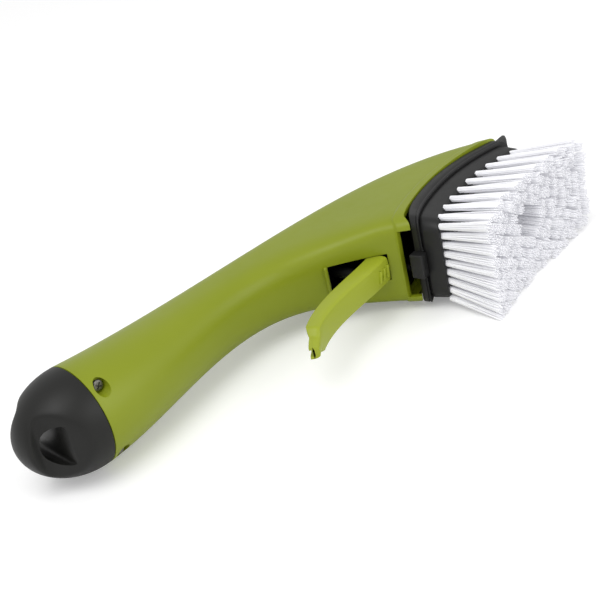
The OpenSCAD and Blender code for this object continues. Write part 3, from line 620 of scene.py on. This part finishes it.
FLANGE_LAYERS = [(0.3, 0.9), (0.5, 0.3), (1.0, 0), (4.2, 0), (4.6, 0.3), (4.9, 0.3),
                 (5.1, 0.05), (5.5, 0), (5.85, 0.2), (6.0, 0.6), (6.05, 1.4)]
flange = head_slab("head_flange", FLANGE_LAYERS)
smooth(flange, 40)
head_grey = moulded("head_grey", srgb(33, 33, 33), srgb(40, 40, 40), 0.42, 0.3)
dress(flange, head_grey)
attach(flange, "brush_head")

BLOCK_FACE = 15
BLOCK_LAYERS = [(5.8, 1.9), (6.4, 1.5), (7.4, 1.4), (13.4, 1.9), (14.4, 2.2), (14.8, 2.6),
                (BLOCK_FACE, 3.3)]
tuft_block = head_slab("tuft_block", BLOCK_LAYERS, 6, 6)
smooth(tuft_block, 40)
dress(tuft_block, head_grey)
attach(tuft_block, "brush_head")
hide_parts("brush_block")

SCRAPER_HALF = TOE_HALF - 1.2
SCRAPER_REACH = 7
SCRAPER_ACROSS = 16


def scraper_point(row, column, layer):
    """A point of the scraper's wedge: rows run towards its edge, layer 0 is its top."""
    share = column / SCRAPER_ACROSS
    z = SCRAPER_HALF * (2 * share - 1)
    edge = 1 - 0.1 * abs(2 * share - 1) ** 4
    shape = [(-8, -1.6, 2.6), (-3.4, -0.5, 4.6), (0.6, -0.2, 5.0),
             (3.6 * edge, -0.2, 3.6), (SCRAPER_REACH * edge, -0.1, 1.4)]
    past_end, top, bottom = shape[row]
    n = top if layer == 0 else bottom
    spot = MOUTH_CORNER + HEAD_ALONG * (HEAD_LENGTH + past_end) - HEAD_BACK * n
    return on_wand(spot.x, spot.y, z)


scraper = wrapped_grid("scraper_lip", 4, SCRAPER_ACROSS, scraper_point, 2)
rounded(scraper, 0.5, 3, 35)
smooth(scraper, 40)
dress(scraper, head_grey)
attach(scraper, "brush_head")
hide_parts("head_frame")

# Rear hook: a dark grey tab behind the scraper lip. It reaches back over the handle's rim and
# keeps the far end of the head down.
HOOK_SIZE = (3, 5.2, 16)
HOOK_OUT = 1.9
hook_at = MOUTH_CORNER + HEAD_ALONG * (HEAD_LENGTH + HOOK_OUT) + HEAD_BACK * HOOK_OUT
hook = block((hook_at.x, hook_at.y, 0), HOOK_SIZE, HEAD_ALONG, "rear_hook")
rounded(hook, 0.8, 4)
smooth(hook, 40)
dress(hook, head_grey)
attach(hook, "brush_head")

# Release latch: a dark grey lug proud of the head's trigger end, in the notch of the mouth.
# Pressed in, it turns on its pin and lets the brush head slide off.
LATCH_HALF = 5.3
LATCH_LOW, LATCH_HIGH = 2.4, 8.2
LATCH_OUT, LATCH_IN = 3.4, 1.0
LATCH_SIZE = (LATCH_IN + LATCH_OUT, LATCH_HIGH - LATCH_LOW, 2 * LATCH_HALF)
latch_at = MOUTH_CORNER + HEAD_ALONG * (LATCH_IN - LATCH_OUT) / 2 - HEAD_BACK * (LATCH_LOW + LATCH_HIGH) / 2
latch = block((latch_at.x, latch_at.y, 0), LATCH_SIZE, HEAD_ALONG, "latch_lug")
rounded(latch, 0.7, 4)
smooth(latch, 40)
dress(latch, head_grey)
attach(latch, "release_latch")
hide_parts("release_latch")

LATCH_PIN, LATCH_PIN_LOW, LATCH_PIN_SHORT = 0.8, 3.9, 0.6
pin_at = MOUTH_CORNER - HEAD_BACK * LATCH_PIN_LOW
pin_half = LATCH_HALF - LATCH_PIN_SHORT
latch_pin = rod((pin_at.x, pin_at.y, -pin_half), (pin_at.x, pin_at.y, pin_half), LATCH_PIN, 24, "latch_axle")
rounded(latch_pin, 0.2, 2)
smooth(latch_pin, 40)
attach(latch_pin, "brush_head")
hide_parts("latch_pin")


# Bristles: white nylon tufts, each a folded bundle of filaments stapled into the block, in
# staggered rows round the soap outlet. Their ends are trimmed, ragged and splayed by use. A
# faint glow stands in for the light that the filaments let through.
TUFT_ROWS, TUFTS_IN_ROW = 19, 9
BRISTLE_LENGTH, BRISTLE_GAIN = 24.5, 2.5
TIP_SPREAD = 21.7
TUFT_PITCH = 3.95
TUFT_ROOT = 14.2
TUFT_FAN = 1.95
OUTLET_HALF = 5.2
FILAMENT, FILAMENT_PITCH = 0.28, 0.48
rng = random.Random(11)


def filament(mesh, base, tip, sag, radius):
    """One four-sided filament of four stretches, from its root to its tip."""
    rings = []
    steps = 4
    axis = (tip - base).normalized()
    side = axis.cross(Vector((0.31, 0.52, 0.79))).normalized()
    other = axis.cross(side)
    for i in range(steps + 1):
        t = i / steps
        spot = base.lerp(tip, t) + sag * (t - t * t)
        ring = []
        for k in range(4):
            a = math.tau * k / 4
            ring.append(mesh.verts.new(spot + (side * math.cos(a) + other * math.sin(a)) * radius))
        rings.append(ring)
    for low, high in zip(rings, rings[1:]):
        for k in range(4):
            mesh.faces.new((low[k], low[(k + 1) % 4], high[(k + 1) % 4], high[k]))
    mesh.faces.new(rings[-1])
    mesh.faces.new(rings[0][::-1])


def packed(rings, pitch):
    """Places of the filaments in a tuft, packed like coins."""
    spots = [(0.0, 0.0)]
    for ring in range(1, rings + 1):
        for k in range(6 * ring):
            a = math.tau * k / (6 * ring)
            spots.append((ring * pitch * math.cos(a), ring * pitch * math.sin(a)))
    return spots


def tuft(mesh, u, z, length):
    """A tuft at u and z of the block. Its strands fan out, and it leans away from the middle."""
    length += rng.gauss(0, 0.5)
    lean_u, lean_z = rng.gauss(0, 0.35), rng.gauss(0, 0.35)
    outward = 5.5 * (u / HEAD_LENGTH) ** 2 - 3.6 * (1 - u / HEAD_LENGTH)
    for du, dz in packed(2, FILAMENT_PITCH):
        grow = length + rng.gauss(0, 0.2)
        tip_u = u + outward + du * TUFT_FAN + lean_u + rng.gauss(0, 0.15)
        tip_z = z * 1.27 + dz * TUFT_FAN + lean_z + rng.gauss(0, 0.15)
        tip_z = max(-TIP_SPREAD, min(TIP_SPREAD, tip_z))
        base = on_head(u + du, TUFT_ROOT, z + dz)
        spot = MOUTH_CORNER + HEAD_ALONG * tip_u + HEAD_BACK * (saddle(u) - BLOCK_FACE - grow)
        tip = on_wand(spot.x, spot.y, tip_z)
        sag = Vector((rng.gauss(0, 0.3), rng.gauss(0, 0.2), rng.gauss(0, 0.3))) * MM
        filament(mesh, base, tip, sag, FILAMENT * MM)


tufts = bmesh.new()
first, last = 4.6, HEAD_LENGTH - 5
for r in range(TUFT_ROWS):
    u = first + (last - first) * r / (TUFT_ROWS - 1)
    squeeze = (head_half(u) - 3.4 - max(0, (u - 70) / 8) * 1.2) / (MOUTH_HALF - 3.6)
    stagger = TUFT_PITCH / 4 if r % 2 else -TUFT_PITCH / 4
    for k in range(TUFTS_IN_ROW):
        z = ((k - (TUFTS_IN_ROW - 1) / 2) * TUFT_PITCH + stagger) * squeeze
        if math.hypot(u - HEAD_LENGTH / 2, z) < OUTLET_HALF:
            continue
        longer = 3 * max(0, -z / MOUTH_HALF) * math.sin(math.pi * u / HEAD_LENGTH)
        tuft(tufts, u, z, BRISTLE_LENGTH + BRISTLE_GAIN * u / HEAD_LENGTH + longer)
bristle_mesh = bpy.data.meshes.new("bristle_tufts")
tufts.to_mesh(bristle_mesh)
tufts.free()
bristles = bpy.data.objects.new("bristle_tufts", bristle_mesh)
bpy.context.scene.collection.objects.link(bristles)
smooth(bristles, 80)

nylon_finish = Finish("white_nylon")
tint = nylon_finish.noise(700, 2)
nylon = nylon_finish.done(
    Base_Color=nylon_finish.blend(tint, srgb(246, 246, 250), srgb(253, 253, 255)),
    Roughness=nylon_finish.noise(300, 2) * 0.15 + 0.3,
    IOR=1.53,
    Specular_IOR_Level=0.4,
    Emission_Color=(0.95, 0.95, 1.0, 1.0),
    Emission_Strength=0.05,
)
dress(bristles, nylon)
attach(bristles, "brush_head")
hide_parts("bristles")


# Small parts whose CAD shape is right: the pump and its tubes, seals, pins, spring, inner
# screws, mouth wall and black trigger well. Each gets the finish of its real material.
def metal(name, colour, paler, roughness):
    finish = Finish(name)
    brushed = finish.noise(2600, 3)
    return finish.done(Base_Color=finish.blend(brushed, colour, paler),
                       Roughness=brushed * 0.15 + roughness, Metallic=1.0,
                       Normal=finish.bump(brushed, 0.2, 0.00001))


steel = metal("stainless_steel", srgb(176, 178, 182), srgb(225, 226, 228), 0.25)
# Screw steel darker than the stainless: partly the screws' own darker tone, partly painted shade of the deep
# recesses they sit in.
dark_steel_and_shade = metal("dark_steel_and_recess_shade", srgb(84, 82, 76), srgb(150, 148, 142), 0.32)
dress(latch_pin, steel)
for screw in screws:
    dress(screw, dark_steel_and_shade)
# Black plastic made very dark: partly its own black, partly painted shade, so the trigger well deep in its
# slot shows no lit detail.
black = moulded("black_moulding", srgb(14, 14, 14), srgb(18, 18, 18), 0.5, 0.25)
milky = moulded("milky_plastic", srgb(206, 212, 208), srgb(218, 222, 219), 0.3)
rubber = moulded("seal_rubber", srgb(28, 28, 28), srgb(36, 36, 36), 0.7, 0.3, 0.00004)
finish_of = {"dark_plastic": head_grey, "black_plastic": black, "clear_plastic": milky, "steel": steel,
             "seal_rubber": rubber, "green_plastic": green, "nylon": nylon}
replaced = {"handle_shell", "end_cap", "cap_screws", "trigger", "brush_block", "head_frame", "bristles",
            "release_latch", "latch_pin"}
for part in frame["record"]["subparts"]:
    if part["node"] not in replaced:
        dress(frame["nodes"][part["node"]], finish_of[part["material_slot"]])


# Stage: a pale floor that keeps the wand's shadow, soft lamps and a camera at the place that
# the photograph was taken from.
bpy.ops.object.select_all(action="DESELECT")
bpy.ops.mesh.primitive_plane_add(size=6, location=(0, 0, 0))
floor = bpy.context.object
floor.name = "floor"
PAPER_LIFT = 0.22
paper = bpy.data.materials.new("paper_floor")
paper.use_nodes = True
paper_shader = paper.node_tree.nodes["Principled BSDF"]
paper_shader.inputs["Base Color"].default_value = (0.86, 0.86, 0.86, 1)
paper_shader.inputs["Roughness"].default_value = 0.9
paper_shader.inputs["Emission Color"].default_value = (1, 1, 1, 1)
eye = paper.node_tree.nodes.new("ShaderNodeLightPath")
lift = paper.node_tree.nodes.new("ShaderNodeMath")
lift.operation = "MULTIPLY"
lift.inputs[1].default_value = PAPER_LIFT
paper.node_tree.links.new(eye.outputs["Is Camera Ray"], lift.inputs[0])
paper.node_tree.links.new(lift.outputs[0], paper_shader.inputs["Emission Strength"])
dress(floor, paper)

world = bpy.data.worlds.new("studio")
bpy.context.scene.world = world
world.use_nodes = True
nodes, links = world.node_tree.nodes, world.node_tree.links
nodes.clear()
seen = nodes.new("ShaderNodeLightPath")
bright = nodes.new("ShaderNodeBackground")
bright.inputs["Color"].default_value = (1, 1, 1, 1)
bright.inputs["Strength"].default_value = 1.0
dim = nodes.new("ShaderNodeBackground")
dim.inputs["Color"].default_value = (1, 1, 1, 1)
dim.inputs["Strength"].default_value = 0.74
mixed = nodes.new("ShaderNodeMixShader")
out = nodes.new("ShaderNodeOutputWorld")
links.new(seen.outputs["Is Camera Ray"], mixed.inputs[0])
links.new(dim.outputs[0], mixed.inputs[1])
links.new(bright.outputs[0], mixed.inputs[2])
links.new(mixed.outputs[0], out.inputs["Surface"])


def lamp(name, place, size, power, target=(0, 0, 0.02)):
    data = bpy.data.lights.new(name, "AREA")
    data.shape = "DISK"
    data.size = size
    data.energy = power
    light = bpy.data.objects.new(name, data)
    bpy.context.scene.collection.objects.link(light)
    light.location = place
    light.rotation_euler = (Vector(target) - Vector(place)).to_track_quat("-Z", "Y").to_euler()


lamp("key", (-0.5, -0.2, 1.1), 0.9, 5.5)
lamp("fill", (0.5, -1.1, 0.6), 1.0, 4.5)

camera_data = bpy.data.cameras.new("camera")
camera_data.lens = 72.84
camera_data.sensor_width = 36
CAMERA_PLACE = (-167.0, -347.8, 222.1)
camera_data.clip_start = 0.01
camera = bpy.data.objects.new("camera", camera_data)
bpy.context.scene.collection.objects.link(camera)
right = Vector((0.6943, -0.6902, -0.2033))
up = Vector((0.4613, 0.2102, 0.8620))
forward = right.cross(up) * -1
look = Matrix((right, up, -forward)).transposed()
camera.matrix_world = Matrix.Translation(on_wand(*CAMERA_PLACE)) @ look.to_4x4()
bpy.context.scene.camera = camera

bpy.context.scene.view_settings.view_transform = "Standard"
